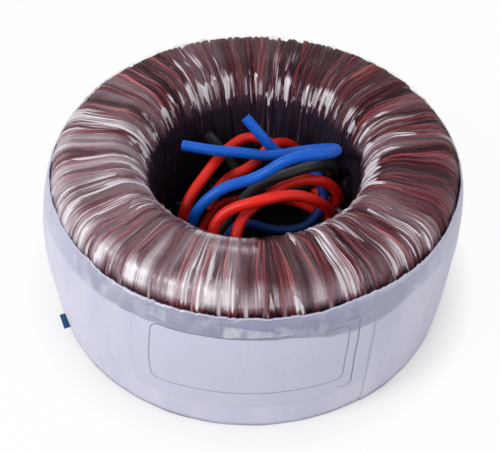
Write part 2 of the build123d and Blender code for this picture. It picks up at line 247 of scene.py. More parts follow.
def wound_section(along, inset):
    """(radius, height) of the wound ring's superellipse, inset from its outside. along runs once
    round it: 0 in the bore at mid height, 0.25 on top, 0.5 outside, 0.75 below, and by length
    between these four."""
    turn = math.pi - FULL_TURN * np.arange(section_steps + 1) / section_steps
    power = np.where(np.cos(turn) < 0, 2 / bore_exponent, 2 / shoulder_exponent)
    across = np.sign(np.cos(turn)) * np.abs(np.cos(turn)) ** power
    up = np.clip(seat_rise * np.sign(np.sin(turn)) * np.abs(np.sin(turn)) ** power, -1, 1)
    half_width = (wound_radius - bore_radius) / 2
    half_height = wound_height / 2
    lengths = np.hypot(np.diff(across) * half_width, np.diff(up) * half_height)
    reached = np.concatenate([[0], np.cumsum(lengths)])
    quarters = np.linspace(0, 1, 5)
    reached = np.interp(reached, reached[:: section_steps // 4], quarters)
    across, up = np.interp(along, reached, across), np.interp(along, reached, up)
    radius = (bore_radius + wound_radius) / 2 + (half_width - inset) * across
    return radius, half_height + (half_height - inset) * up


def reach_outward(radius):
    """0 in the bore and 1 at the outside."""
    return np.clip((radius - bore_radius) / (wound_radius - bore_radius), 0, 1)


# ---- Node helpers


def feed(tree, socket, value):
    """Links a value to a socket, or sets it there."""
    if isinstance(value, bpy.types.NodeSocket):
        tree.links.new(value, socket)
    else:
        socket.default_value = value


def add(tree, kind, inputs=None, **settings):
    """A node of a kind, with its settings, and values or links for its inputs by name."""
    made = tree.nodes.new(kind)
    for key, value in settings.items():
        setattr(made, key, value)
    for key, value in (inputs or {}).items():
        feed(tree, made.inputs[key], value)
    return made


def mask(tree, name):
    """A mesh's own mask."""
    return add(tree, "ShaderNodeAttribute", attribute_name=name).outputs["Fac"]


def math_node(tree, operation, first, second=0.0):
    """The result of one operation on two values."""
    return add(tree, "ShaderNodeMath", {0: first, 1: second}, operation=operation).outputs[0]


def times(tree, first, second):
    """The product of two values."""
    return math_node(tree, "MULTIPLY", first, second)


def ramp(tree, value, stops):
    """A colour ramp with (position, colour) stops."""
    made = add(tree, "ShaderNodeValToRGB", {"Fac": value})
    stops = [(place, (*colour, 1.0)) for place, colour in stops]
    made.color_ramp.elements[0].position, made.color_ramp.elements[0].color = stops[0]
    made.color_ramp.elements[1].position, made.color_ramp.elements[1].color = stops[-1]
    for place, colour in stops[1:-1]:
        made.color_ramp.elements.new(place).color = colour
    return made.outputs["Color"]


def span(tree, value, low, high, to_low=0.0, to_high=1.0):
    """value's range from low to high, mapped to another range and held at its ends."""
    names = {"Value": value, "From Min": low, "From Max": high, "To Min": to_low, "To Max": to_high}
    return add(tree, "ShaderNodeMapRange", names).outputs["Result"]


def mix(tree, factor, first, second):
    """A colour that goes from the first to the second as the factor goes from 0 to 1."""
    made = add(tree, "ShaderNodeMix", data_type="RGBA")
    for key, value in (("Factor_Float", factor), ("A_Color", first), ("B_Color", second)):
        socket = next(s for s in made.inputs if s.identifier == key)
        feed(tree, socket, (*value, 1.0) if isinstance(value, tuple) else value)
    return next(s for s in made.outputs if s.identifier == "Result_Color")


def group(name, inputs, outputs):
    """An empty node group with named sockets, and its tree, input and output nodes."""
    tree = bpy.data.node_groups.new(name, "ShaderNodeTree")
    for socket, default in inputs.items():
        made = tree.interface.new_socket(socket, in_out="INPUT", socket_type="NodeSocketFloat")
        made.default_value = default
    for socket, kind in outputs.items():
        tree.interface.new_socket(socket, in_out="OUTPUT", socket_type=kind)
    return tree, tree.nodes.new("NodeGroupInput"), tree.nodes.new("NodeGroupOutput")


def use(tree, made, **inputs):
    """A node group placed in a material, with its own values."""
    node = add(tree, "ShaderNodeGroup", node_tree=made)
    for key, value in inputs.items():
        feed(tree, node.inputs[key.replace("_", " ")], value)
    return node


def on_circle(tree, turn, across, height):
    """A place at an angle and a height on a circle that is across long all round, so that a
    pattern over such places has no seam."""
    radius = math_node(tree, "DIVIDE", across, FULL_TURN)
    x = times(tree, math_node(tree, "COSINE", turn), radius)
    y = times(tree, math_node(tree, "SINE", turn), radius)
    return add(tree, "ShaderNodeCombineXYZ", {0: x, 1: y, 2: height}).outputs[0]


def make_streaks():
    """Streaks that follow the turns: noise on the piece's own UV, stretched along the section."""
    inputs = {"Across": 200.0, "Along": 3.0, "Seed": 0.0, "From": 0.4, "To": 0.6}
    tree, start, end = group("streaks", inputs, {"Mask": "NodeSocketFloat"})
    uv = add(tree, "ShaderNodeUVMap", uv_map="UVMap").outputs[0]
    parts = add(tree, "ShaderNodeSeparateXYZ", {0: uv})
    turn = times(tree, parts.outputs[0], FULL_TURN)
    height = times(tree, parts.outputs[1], start.outputs["Along"])
    place = on_circle(tree, turn, start.outputs["Across"], height)
    noise = add(
        tree,
        "ShaderNodeTexNoise",
        {"Vector": place, "W": start.outputs["Seed"], "Scale": 1.0, "Detail": 2.0},
        noise_dimensions="4D",
    )
    streak = span(tree, noise.outputs["Fac"], start.outputs["From"], start.outputs["To"])
    tree.links.new(streak, end.inputs["Mask"])
    return tree


def make_patches():
    """Long leaning patches with crisp borders, each of its own value: cells on the piece's UV."""
    inputs = {"Across": 90.0, "Along": 3.0, "Lean": 0.0, "Seed": 0.0, "Wander": 1.0}
    outputs = {"Value": "NodeSocketFloat", "Border": "NodeSocketFloat"}
    tree, start, end = group("patches", inputs, outputs)
    uv = add(tree, "ShaderNodeUVMap", uv_map="UVMap").outputs[0]
    parts = add(tree, "ShaderNodeSeparateXYZ", {0: uv})
    ahead = times(tree, parts.outputs[1], start.outputs["Lean"])
    turn = math_node(tree, "ADD", times(tree, parts.outputs[0], FULL_TURN), ahead)
    height = times(tree, parts.outputs[1], start.outputs["Along"])
    height = math_node(tree, "ADD", height, start.outputs["Seed"])
    place = on_circle(tree, turn, start.outputs["Across"], height)
    noise = add(tree, "ShaderNodeTexNoise", {"Vector": place, "Scale": 0.6, "Detail": 2.0})
    drift = add(
        tree,
        "ShaderNodeVectorMath",
        {0: noise.outputs["Color"], 1: (0.5, 0.5, 0.5)},
        operation="SUBTRACT",
    ).outputs[0]
    scaled = {0: drift, "Scale": start.outputs["Wander"]}
    drift = add(tree, "ShaderNodeVectorMath", scaled, operation="SCALE").outputs[0]
    moved = add(tree, "ShaderNodeVectorMath", {0: place, 1: drift}, operation="ADD").outputs[0]
    cells = add(tree, "ShaderNodeTexVoronoi", {"Vector": moved, "Scale": 1.0})
    value = add(tree, "ShaderNodeSeparateXYZ", {0: cells.outputs["Color"]}).outputs[0]
    edges = add(
        tree,
        "ShaderNodeTexVoronoi",
        {"Vector": moved, "Scale": 1.0},
        feature="DISTANCE_TO_EDGE",
    )
    tree.links.new(value, end.inputs["Value"])
    tree.links.new(edges.outputs["Distance"], end.inputs["Border"])
    return tree


def make_grain():
    """Fine grain and slow unevenness in object space: a mask, and a normal bent by both."""
    inputs = {"Fine Scale": 900.0, "Slow Scale": 60.0, "Strength": 0.2, "Slow Share": 0.5}
    outputs = {"Mask": "NodeSocketFloat", "Normal": "NodeSocketVector"}
    tree, start, end = group("grain", inputs, outputs)
    place = add(tree, "ShaderNodeTexCoord").outputs["Object"]
    fine = add(
        tree,
        "ShaderNodeTexNoise",
        {"Vector": place, "Scale": start.outputs["Fine Scale"], "Detail": 3.0},
    ).outputs["Fac"]
    slow = add(
        tree,
        "ShaderNodeTexNoise",
        {"Vector": place, "Scale": start.outputs["Slow Scale"], "Detail": 2.0},
    ).outputs["Fac"]
    fine_share = math_node(tree, "SUBTRACT", 1.0, start.outputs["Slow Share"])
    fine_part = times(tree, fine, fine_share)
    slow_part = times(tree, slow, start.outputs["Slow Share"])
    both = math_node(tree, "ADD", fine_part, slow_part)
    bent = add(
        tree,
        "ShaderNodeBump",
        {"Height": both, "Strength": start.outputs["Strength"], "Distance": grain_depth},
    )
    tree.links.new(both, end.inputs["Mask"])
    tree.links.new(bent.outputs[0], end.inputs["Normal"])
    return tree


STREAKS = make_streaks()
PATCHES = make_patches()
GRAIN = make_grain()


def start_material(name, plain):
    """A material with one Principled shader, whose plain values go by name: (material, its tree,
    the shader's inputs)."""
    made = bpy.data.materials.new(name)
    made.use_nodes = True
    shader = made.node_tree.nodes["Principled BSDF"].inputs
    for key, value in plain.items():
        shader[key].default_value = value
    return made, made.node_tree, shader


# ---- Materials


def enamelled_copper():
    """Strands of dark red-brown enamel, each its own lightness, with painted shade from make_turns.
    Fine lines of painted highlight run along the lighter strands, and down in the bore all are
    nearly black, as painted shade."""
    plain = {"Specular IOR Level": 0.06, "Coat Weight": 0.12, "Coat Roughness": 0.1}
    made, tree, shader = start_material("enamelled_copper", plain)
    # each strand's own lightness together with painted shade
    tone_and_shade = mask(tree, "tone_and_shade")
    bore = mask(tree, "bore")
    wear = use(tree, STREAKS, Across=110.0, Along=2.6, Seed=3.0, From=0.35, To=0.7).outputs[0]
    lines = use(tree, STREAKS, Across=700.0, Along=5.0, Seed=9.0, From=0.35, To=0.65).outputs[0]
    shade = times(tree, tone_and_shade, span(tree, wear, 0, 1, 0.6, 1.25))
    shade = times(tree, shade, span(tree, lines, 0, 1, 0.4, 1.35))
    stops = [
        (0.0, (0.010, 0.002, 0.004)),
        (0.3, (0.105, 0.012, 0.019)),
        (0.65, (0.290, 0.044, 0.054)),
        (0.85, (0.410, 0.090, 0.098)),
        (1.0, (0.600, 0.220, 0.220)),
    ]
    # painted highlight: pink lines along the lighter strands
    painted_glint = times(tree, span(tree, lines, 0.7, 1.0), 0.40)
    painted_glint = times(tree, painted_glint, span(tree, tone_and_shade, 0.2, 0.7))
    strand = mix(tree, painted_glint, ramp(tree, shade, stops), (0.66, 0.28, 0.26))
    # painted shade: nearly black down in the bore
    feed(tree, shader["Base Color"], mix(tree, bore, strand, (0.022, 0.018, 0.034)))
    feed(tree, shader["Roughness"], span(tree, wear, 0, 1, 0.35, 0.55))
    grain = use(tree, GRAIN, Fine_Scale=1400.0, Slow_Scale=200.0, Strength=0.25)
    tree.links.new(grain.outputs["Normal"], shader["Normal"])
    return made


def crisp(tree, value, share, steepness):
    """1 where a value from 0 to 1 is in its upper share, and 0 elsewhere, with a short ramp."""
    above = math_node(tree, "ADD", value, math_node(tree, "SUBTRACT", share, 1.0))
    return span(tree, above, -0.5 / steepness, 0.5 / steepness)


def weighted(tree, *parts):
    """The sum of two values, each times its weight, from (value, weight) pairs."""
    first, second = (times(tree, value, weight) for value, weight in parts)
    return math_node(tree, "ADD", first, second)


def clear_film():
    """Clear polyester film in many layers. It is white where one of four masks calls for it: share
    gives that share of it crisp patches, folds gives tattered gathers at the bore's rim,
    milk_and_glare gives broad soft streaks, and veil_and_glare a thin even haze. The white is
    partly the film's own milkiness and partly painted reflection of the lights. Elsewhere it is
    clear."""
    plain = {"Coat Weight": 0.4, "Coat Roughness": 0.2}
    made, tree, shader = start_material("clear_film", plain)
    share = mask(tree, "share")
    veil_and_glare = mask(tree, "veil_and_glare")
    folds = mask(tree, "folds")
    milk_and_glare = mask(tree, "milk_and_glare")

    wide = use(tree, PATCHES, Across=72.0, Along=5.0, Lean=0.10, Seed=1.0).outputs
    middle = use(tree, PATCHES, Across=230.0, Along=8.0, Lean=-0.08, Seed=7.0).outputs
    thin = use(tree, STREAKS, Across=620.0, Along=7.0, Seed=2.0, From=0.3, To=0.7).outputs[0]
    both = weighted(tree, (wide["Value"], 0.36), (middle["Value"], 0.36))
    value = math_node(tree, "ADD", both, times(tree, thin, 0.28))
    white = crisp(tree, value, share, 3.4)
    white = times(tree, white, span(tree, value, 0.4, 0.85, 0.5, 1.0))
    white = times(tree, white, span(tree, thin, 0, 1, 0.45, 1.1))

    gathers = use(tree, PATCHES, Across=96.0, Along=11.0, Seed=12.0, Wander=2.0).outputs
    splits = use(tree, PATCHES, Across=290.0, Along=10.0, Seed=14.0).outputs
    gathered = weighted(tree, (gathers["Value"], 0.58), (splits["Value"], 0.42))
    rim = crisp(tree, gathered, folds, 4.0)
    rim = times(tree, rim, span(tree, gathered, 0.35, 0.80, 0.40, 1.0))

    broad = use(tree, STREAKS, Across=58.0, Along=2.4, Seed=6.0, From=0.40, To=0.64).outputs[0]
    broad = times(tree, broad, milk_and_glare)
    broad = times(tree, broad, span(tree, thin, 0, 1, 0.7, 1.05))

    uneven = span(tree, middle["Value"], 0.2, 0.8, 0.65, 1.2)
    uneven = times(tree, uneven, span(tree, thin, 0, 1, 0.75, 1.15))
    haze = times(tree, veil_and_glare, uneven)

    cover = math_node(tree, "MAXIMUM", math_node(tree, "MAXIMUM", white, rim), haze)
    cover = math_node(tree, "MAXIMUM", cover, broad)
    stops = [(0.0, (0.40, 0.15, 0.20)), (0.4, (0.62, 0.44, 0.51)), (0.9, (0.94, 0.88, 0.94))]
    feed(tree, shader["Base Color"], ramp(tree, cover, stops))
    feed(tree, shader["Alpha"], span(tree, cover, 0.0, 1.0, 0.02, 0.90))
    feed(tree, shader["Roughness"], span(tree, thin, 0, 1, 0.24, 0.40))

    half_border = times(tree, middle["Border"], 0.5)
    facets = math_node(tree, "ADD", wide["Border"], half_border)
    grain = use(tree, GRAIN, Fine_Scale=700.0, Slow_Scale=160.0, Strength=0.25, Slow_Share=0.7)
    bends = {
        "Height": facets,
        "Strength": 0.5,
        "Distance": crease_depth,
        "Normal": grain.outputs["Normal"],
    }
    creased = add(tree, "ShaderNodeBump", bends)
    tree.links.new(creased.outputs[0], shader["Normal"])
    return made


def white_tape():
    """Pale adhesive tape with a slightly bluish cast, smooth and softly creased, with painted shade
    in faint upright lines where it creases, and darker along its foot."""
    plain = {"Coat Weight": 0.4, "Coat Roughness": 0.3}
    made, tree, shader = start_material("white_tape", plain)
    fade = use(tree, STREAKS, Across=40.0, Along=1.2, Seed=5.0, From=0.3, To=0.75).outputs[0]
    grain = use(tree, GRAIN, Fine_Scale=500.0, Slow_Scale=45.0, Strength=0.2, Slow_Share=0.8)
    tape = mix(tree, fade, (0.62, 0.62, 0.75), (0.51, 0.515, 0.69))
    # painted shade: faint darker upright lines where the tape creases
    creases = use(tree, STREAKS, Across=90.0, Along=0.8, Seed=11.0, From=0.52, To=0.66).outputs[0]
    tape = mix(tree, times(tree, creases, 0.14), tape, (0.40, 0.40, 0.56))
    place = add(tree, "ShaderNodeTexCoord").outputs["Object"]
    height = add(tree, "ShaderNodeSeparateXYZ", {"Vector": place}).outputs["Z"]
    # darker along the tape's foot
    foot_dark = use(tree, STREAKS, Across=24.0, Along=1.0, Seed=13.0, From=0.4, To=0.6).outputs[0]
    foot_dark = times(tree, foot_dark, span(tree, height, *foot_dark_heights, 0.7, 0.0))
    feed(tree, shader["Base Color"], mix(tree, foot_dark, tape, (0.10, 0.07, 0.07)))
    feed(tree, shader["Roughness"], span(tree, grain.outputs["Mask"], 0.3, 0.7, 0.28, 0.42))
    tree.links.new(grain.outputs["Normal"], shader["Normal"])
    return made


def label_paper():
    """White paper that is inked where its mask says: a thin frame, and nothing written."""
    made, tree, shader = start_material("label_paper", {"Roughness": 0.5})
    ink = mask(tree, "ink")
    grain = use(tree, GRAIN, Fine_Scale=1500.0, Slow_Scale=80.0, Strength=0.15)
    paper = mix(tree, grain.outputs["Mask"], (0.61, 0.61, 0.765), (0.56, 0.56, 0.72))
    feed(tree, shader["Base Color"], mix(tree, ink, paper, (0.10, 0.10, 0.12)))
    tree.links.new(grain.outputs["Normal"], shader["Normal"])
    return made


def clear_strip_film():
    """The clear tape over the band's upper edge: it greys the white under it in patches."""
    plain = {"Roughness": 0.12, "Coat Weight": 0.5, "Coat Roughness": 0.12}
    made, tree, shader = start_material("clear_strip_film", plain)
    grey = mask(tree, "grey")
    streaks = use(tree, STREAKS, Across=130.0, Along=1.0, Seed=8.0, From=0.35, To=0.7).outputs[0]
    patches = use(tree, PATCHES, Across=36.0, Along=1.5, Seed=4.0).outputs["Value"]
    both = times(tree, streaks, patches)
    feed(tree, shader["Base Color"], mix(tree, both, (0.35, 0.36, 0.52), (0.85, 0.85, 0.93)))
    cover = times(tree, grey, span(tree, patches, 0, 1, 0.30, 0.60))
    feed(tree, shader["Alpha"], math_node(tree, "ADD", cover, 0.05))
    grain = use(tree, GRAIN, Fine_Scale=300.0, Slow_Scale=60.0, Strength=0.2, Slow_Share=0.8)
    tree.links.new(grain.outputs["Normal"], shader["Normal"])
    return made


def plastic(name, colour, faded, roughness, fine_scale=1200.0, strength=0.12, coat=0.3, deep=1.0):
    """Plastic, tape or board with slight fading and a fine grain. Low in the bore only the share
    deep of its colour is left, and the rest is black: painted shade."""
    plain = {"Specular IOR Level": 0.3, "Coat Weight": coat, "Coat Roughness": 0.2}
    made, tree, shader = start_material(name, plain)
    grain = use(tree, GRAIN, Fine_Scale=fine_scale, Slow_Scale=120.0, Strength=strength)
    blend = span(tree, grain.outputs["Mask"], 0.35, 0.65)
    place = add(tree, "ShaderNodeTexCoord").outputs["Object"]
    height = add(tree, "ShaderNodeSeparateXYZ", {"Vector": place}).outputs["Z"]
    # painted shade: darker low in the bore
    unshaded = span(tree, height, *bore_shade_heights, deep, 1.0)
    tint = mix(tree, unshaded, (0.0, 0.0, 0.0), mix(tree, blend, colour, faded))
    feed(tree, shader["Base Color"], tint)
    worn = span(tree, grain.outputs["Mask"], 0.3, 0.7, roughness, roughness + 0.12)
    feed(tree, shader["Roughness"], worn)
    tree.links.new(grain.outputs["Normal"], shader["Normal"])
    return made


def strip_steel():
    """Bare grain-oriented steel strip, on edge."""
    plain = {"Metallic": 1.0, "Roughness": 0.38}
    made, tree, shader = start_material("strip_steel", plain)
    grain = use(tree, GRAIN, Fine_Scale=1800.0, Slow_Scale=90.0, Strength=0.3)
    steel = mix(tree, grain.outputs["Mask"], (0.32, 0.33, 0.36), (0.52, 0.52, 0.53))
    feed(tree, shader["Base Color"], steel)
    tree.links.new(grain.outputs["Normal"], shader["Normal"])
    return made


# ---- The copper turns and the film over them


def grid(columns, rows):
    """Even steps round the ring and along the section, in turns, and the uv of both."""
    across = np.arange(columns)[:, None] / columns
    along = np.arange(rows)[None, :] / rows
    return across, along, (np.arange(columns + 1) / columns, np.arange(rows + 1) / rows)


def distance_from_bore(along):
    """0 at mid height in the bore, 0.25 on top and underneath, and 0.5 outside."""
    return 0.5 - np.abs(0.5 - along)


def make_turns():
    """Strands side by side: the section's inset is a row of half circles round the ring, whose
    places wander in bunches and whose heights differ from strand to strand. Its masks are
    tone_and_shade, each strand's own lightness with painted shade in the gaps between strands, on
    the strands that lie deeper, round the ring and by the band's rim, and bore, which is 1 down in
    the bore, where the turns are painted in shade."""
    across, along, uv = grid(strand_count * strand_columns, strand_rows)
    sway = soft_noise(across, along, 3, 12, 2.0, seed=10) * 1.6 / strand_count
    bunch = soft_noise(across, along, 16, 44, 3.0, seed=11) * 0.75 / strand_count + sway
    stray = soft_noise(across, along, 90, 150, 5.0, seed=12) * 0.40 / strand_count
    strand = across * strand_count
    in_strand = 2 * (strand - np.floor(strand)) - 1
    crest = np.sqrt(np.clip(1 - in_strand**2, 0, 1))

    rng = np.random.default_rng(5)
    heights = rng.uniform(0, 1, (strand_count, strand_heights + 1))
    place = along * strand_heights
    low = np.floor(place).astype(int)
    index = np.floor(strand).astype(int) % strand_count
    first = heights[index, low % strand_heights]
    second = heights[index, (low + 1) % strand_heights]
    height = first + (second - first) * smooth_step(place - low, 0, 1)
    sunk = (rng.uniform(0, 1, strand_count) < sunk_share)[index]
    inset = film_relief + film_depth + strand_depth * (1 - crest + 0.5 * height + 1.2 * sunk)
    from_bore = distance_from_bore(along)
    inset = inset - shoulder_swell * smooth_step(from_bore, *shoulder_places)
    radius, up = wound_section(along, inset)
    angle = FULL_TURN * (across + bunch + stray) + strand_lean * reach_outward(radius)
    points = about_axis(radius, angle, up, wound_offset)

    # each strand's own random lightness, with painted shade on the parts of strands that lie deeper
    tones = rng.uniform(0, 1, strand_count)[index] ** 1.3 * 0.85 + (1 - height) * 0.25
    # painted light and shade round the ring, and painted shade along the band's rim
    lit = around(across, copper_painted_light)
    lit = lit * (1 - 0.45 * smooth_step(from_bore, *band_shade_places))
    # painted shade in the gaps between strands and on the sunk strands
    tone_and_shade = np.clip(tones * (0.08 + 0.92 * crest**1.5) * (1 - 0.8 * sunk) * lit, 0, 1)
    # painted shade: the turns are nearly black down in the bore
    bore = 1 - smooth_step(from_bore, *bore_shade_places)
    masks = {"tone_and_shade": tone_and_shade + 0 * across, "bore": bore + 0 * across}
    return surface("copper_turns", points, uv, True, masks)


def make_film():
    """The clear wrap. Its lift off its lowest surface is a sum of waves round the ring: sharp
    gathers at the bore's rims that die out towards the crest, long soft pleats, fine crinkles and
    a full lift on the outer shoulders. One patch on top, in front, is smooth but for two rumples.
    Under the part it lies at its lowest, so that nothing reaches below the floor."""
    across, along, uv = grid(film_columns, film_rows)
    angle = FULL_TURN * across
    from_bore = distance_from_bore(along)
    fold = soft_noise(across, along, 46, 120, 2.5, seed=21)
    gather = np.clip(1 - 1.3 * np.abs(fold), 0, 1) ** 1.5
    rim = np.exp(-(((from_bore - gather_place) / gather_spread) ** 2))
    pleat = np.clip(soft_noise(across, along, 28, 84, 3.0, seed=22), 0, 1.6) / 1.6
    crinkle = soft_noise(across, along, 140, 330, 3.0, seed=23)
    patch = soft_noise(across, along, 2, 9, 4.0, seed=24)
    flat = smooth_step(np.cos(angle - flat_patch_angle), 0.966, 0.984)
    flat = flat * smooth_step(from_bore, *flat_start_places) * (along < 0.5)
    flat = flat * (1 - smooth_step(from_bore + 0.02 * patch, *flat_end_places))
    near, far = rumple_places
    near_spread, far_spread = rumple_spreads
    rumple = np.exp(-(((from_bore - near - 0.01 * patch) / near_spread) ** 2))
    rumple += 0.8 * np.exp(-(((from_bore - far + 0.012 * patch) / far_spread) ** 2))
    lift = gather_lift * gather * rim * (0.6 + 0.4 * np.clip(patch + 0.5, 0, 1))
    lift += pleat_lift * pleat * smooth_step(from_bore, *pleat_places) + crinkle_lift * crinkle
    lift = lift * (1 - 0.8 * flat) + rumple_lift * rumple * flat
    lift = np.clip(lift + shoulder_lift * smooth_step(from_bore, *shoulder_places), 0, 1)
    _, up = wound_section(along, 0)
    at_foot = smooth_step(-up, -3 * MM, -1 * MM)
    radius, up = wound_section(along, film_relief * (1 - lift * (1 - at_foot) - at_foot))
    points = about_axis(radius, angle + strand_lean * reach_outward(radius), up, wound_offset)
    masks = film_masks(across, along, patch, flat, rumple)
    return surface("clear_film", points, uv, True, masks)


def film_masks(across, along, patch, flat, rumple):
    """Where the film is white, and how much, partly its own milkiness and partly painted reflection
    of the lights. share is high at the front and on its shoulder, and low at the back.
    veil_and_glare and milk_and_glare are high at the left and the front, and on the front shoulder
    they add painted reflection. folds is high in a ragged ring at the bore's rim, whiter along its
    back and right as painted reflection. Teeth over the band's rim and the inside of the bore stay
    clear."""
    from_bore = distance_from_bore(along)
    out_of_bore = smooth_step(from_bore, *hazy_places)
    shoulder = smooth_step(from_bore + 0.015 * patch, *white_shoulder_places)
    jagged = soft_noise(across, along * 0, 90, 300, 0.0, seed=28)
    gaps = smooth_step(soft_noise(across, along * 0, 50, 160, 0.0, seed=29), -0.9, -0.7)
    teeth = smooth_step(from_bore + 0.003 * jagged, *teeth_places) * gaps
    teeth = teeth * around(across, film_teeth)

    # painted reflection: the film is whiter at the front, where the lights reflected in it
    front = around(across, film_front_glare)
    share = around(across, film_share_and_glare) + 0.34 * front * shoulder - 0.10 * flat + 0.09 * patch
    back = around(across, film_back)
    share = share - 0.25 * back * smooth_step(from_bore, *clear_shoulder_places)
    share = share * out_of_bore * (1 - 0.85 * teeth)

    # painted reflection: veil_and_glare and milk_and_glare rise on the front shoulder
    veil_and_glare = around(across, film_veil_and_glare)
    veil_and_glare = veil_and_glare * (1 + 0.35 * np.clip(patch, -1, 1)) + 0.12 * flat + 0.5 * rumple * flat
    blot = np.clip(soft_noise(across, along, 22, 70, 6.0, seed=30), -1, 1)
    veil_and_glare = (veil_and_glare + (0.34 + 0.4 * blot) * front * shoulder) * out_of_bore * (1 - teeth)

    milk_and_glare = around(across, film_milk_and_glare)
    milk_and_glare = (milk_and_glare + 0.5 * front * shoulder) * out_of_bore * (1 - 0.95 * teeth)

    ragged = fold_start + 0.020 * np.abs(soft_noise(across, along * 0, 30, 80, 0.0, seed=25))
    ragged = ragged + 0.014 * np.abs(soft_noise(across, along * 0, 110, 320, 0.0, seed=26))
    # painted reflection: the folds are whiter along the back and right of the bore's rim
    folds = around(across, film_folds_and_glints) * smooth_step(from_bore, ragged, ragged + 0.006)
    folds = folds * (1 - smooth_step(from_bore + 0.012 * patch, *fold_end_places))
    masks = {"share": share, "veil_and_glare": veil_and_glare, "folds": folds, "milk_and_glare": milk_and_glare}
    return {name: np.clip(values, 0, 1) + 0 * across for name, values in masks.items()}


# ---- The band, its label and the clear strip


def band_point(angle, height, off):
    """A point on the band's outside, or off it: the radius falls by the square of the distance
    from its widest height, less the waves of the folds and creases. The rim leans over with the
    wound ring and curls in, and past the seam the radius falls by one thickness of tape."""
    below = (band_wide_height - height) / (band_wide_height - band_foot_height)
    above = (height - band_wide_height) / (band_rim_height - band_wide_height)
    share = np.where(height < band_wide_height, below, above)
    end_radius = np.where(height < band_wide_height, band_foot_radius, band_rim_radius)
    radius = band_radius - (band_radius - end_radius) * share**2
    shift = wound_offset * np.clip(above, 0, 1.2)
    past_seam = np.mod(angle - seam_angle, FULL_TURN) / seam_span
    radius = radius + band_thickness * np.clip(1 - past_seam, 0, 1) - band_thickness
    across, along = angle / FULL_TURN, height / band_rim_height
    folds = np.clip(soft_noise(across, along, 18, 44, 1.2, seed=31), -1, 1)
    creases = np.clip(1 - 3 * np.abs(soft_noise(across, along, 8, 26, 0.8, seed=32)), 0, 1)
    radius = radius - (band_fold * (1 - folds) + band_fold * (1 - creases)) * MM
    curl = np.clip((height - band_rim_height) / curl_height + 1, 0, 1.2)
    return about_axis(radius - rim_curl * curl**2 + off, angle, height, shift)


def rim_height(angle, top):
    """A hand-cut edge: two waves and a fine unevenness added to a height, lower at the front."""
    fray = soft_noise(angle / FULL_TURN, 0 * angle, 30, 240, 0.0, seed=33)
    dip = rise_and_fall(angle, dip_angles)
    waves = 0.6 * np.sin(3 * angle + 1) + 0.4 * np.sin(11 * angle)
    return top + rim_wave * waves * (1 - dip) - rim_dip * dip + rim_fray * fray


def band_layer(name, angles, low, high, rows, inner_off, outer_off, closed, masks=None):
    """A thin layer on the band between two heights, each an array over the angles, and between
    two distances off its outside. The layer's outside going up and its inside going down make one
    closed loop at each angle."""
    share = np.linspace(0, 1, rows)[None, :]
    heights = low[:, None] + (high - low)[:, None] * share
    turned = angles[:, None] + 0 * share
    outside = band_point(turned, heights, outer_off)
    inside = band_point(turned, heights, inner_off)[:, ::-1]
    points = np.concatenate([outside, inside], 1)
    count = len(angles)
    across_uv = np.arange(count + 1) / count if closed else np.linspace(0, 1, count)
    along_uv = np.concatenate([share[0], share[0, ::-1], [0]])
    piece = surface(name, points, (across_uv, along_uv), closed, masks)
    if not closed:
        close_ends(piece, count, 2 * rows)
    return piece


def close_ends(piece, columns, rows):
    """Adds a face over each open end of a grid whose loops are closed."""
    made = bmesh.new()
    made.from_mesh(piece.data)
    made.verts.ensure_lookup_table()
    made.faces.new([made.verts[row] for row in range(rows)][::-1])
    made.faces.new([made.verts[(columns - 1) * rows + row] for row in range(rows)])
    made.to_mesh(piece.data)
    made.free()


def make_band():
    """The tape band all round, with a step at its seam."""
    even = np.arange(band_columns) * FULL_TURN / band_columns
    angles = np.sort(np.concatenate([even, [seam_angle - seam_step, seam_angle + seam_step]]))
    low = np.full(len(angles), band_foot_height)
    high = rim_height(angles, band_rim_height)
    return band_layer("white_band", angles, low, high, band_rows, -band_thickness, 0.0, True)


def rounded_frame(x, y, width, height, corner):
    """A thin line along a rounded rectangle whose foot's left end is at (0, 0), in mm: 1 on it."""
    out_x = np.abs(x - width / 2) - width / 2 + corner
    out_y = np.abs(y - height / 2) - height / 2 + corner
    off = np.hypot(np.maximum(out_x, 0), np.maximum(out_y, 0)) - corner
    off = off + np.minimum(np.maximum(out_x, out_y), 0)
    return np.clip(ink_reach - np.abs(off) / ink_width, 0, 1)


def make_label():
    """A blank label: a thin frame and, to the right of it, part of a second one."""
    share = np.linspace(0, 1, label_columns)
    angles = label_from + (label_to - label_from) * share
    foot = np.full(label_columns, label_foot_height)
    high = foot + label_height
    rising = np.linspace(0, 1, label_rows)
    up = np.concatenate([rising, rising[::-1]])[None, :]
    width, height = band_radius / MM * (label_to - label_from), label_height / MM
    x = share[:, None] * width - frame_left
    y = up * height - frame_foot
    second = rounded_frame(
        x,
        y + second_foot,
        frame_width + second_right,
        frame_height + second_rise,
        second_corner,
    )
    ink = rounded_frame(x, y, frame_width, frame_height, frame_corner)
    ink = np.maximum(ink, second * (x > second_start))
    outside = np.arange(2 * label_rows)[None, :] < label_rows
    masks = {"ink": ink * outside}
    top = label_gap + label_thickness
    return band_layer("blank_label", angles, foot, high, label_rows, label_gap, top, False, masks)


def make_strip():
    """The clear strip round the band's upper edge, over the label, low at the label's right."""
    angles = np.arange(band_columns) * FULL_TURN / band_columns
    under = 2 * label_gap + label_thickness
    fray = soft_noise(angles / FULL_TURN, 0 * angles, 12, 60, 0.0, seed=34)
    droop = strip_droop * rise_and_fall(angles, droop_angles)
    low = strip_foot_height + rim_fray * fray - droop
    high = rim_height(angles, strip_top_height)
    grey = around(angles / FULL_TURN, strip_grey)
    masks = {"grey": np.repeat(grey[:, None], 2 * strip_rows, 1)}
    top = under + strip_thickness
    return band_layer("clear_strip", angles, low, high, strip_rows, under, top, True, masks)
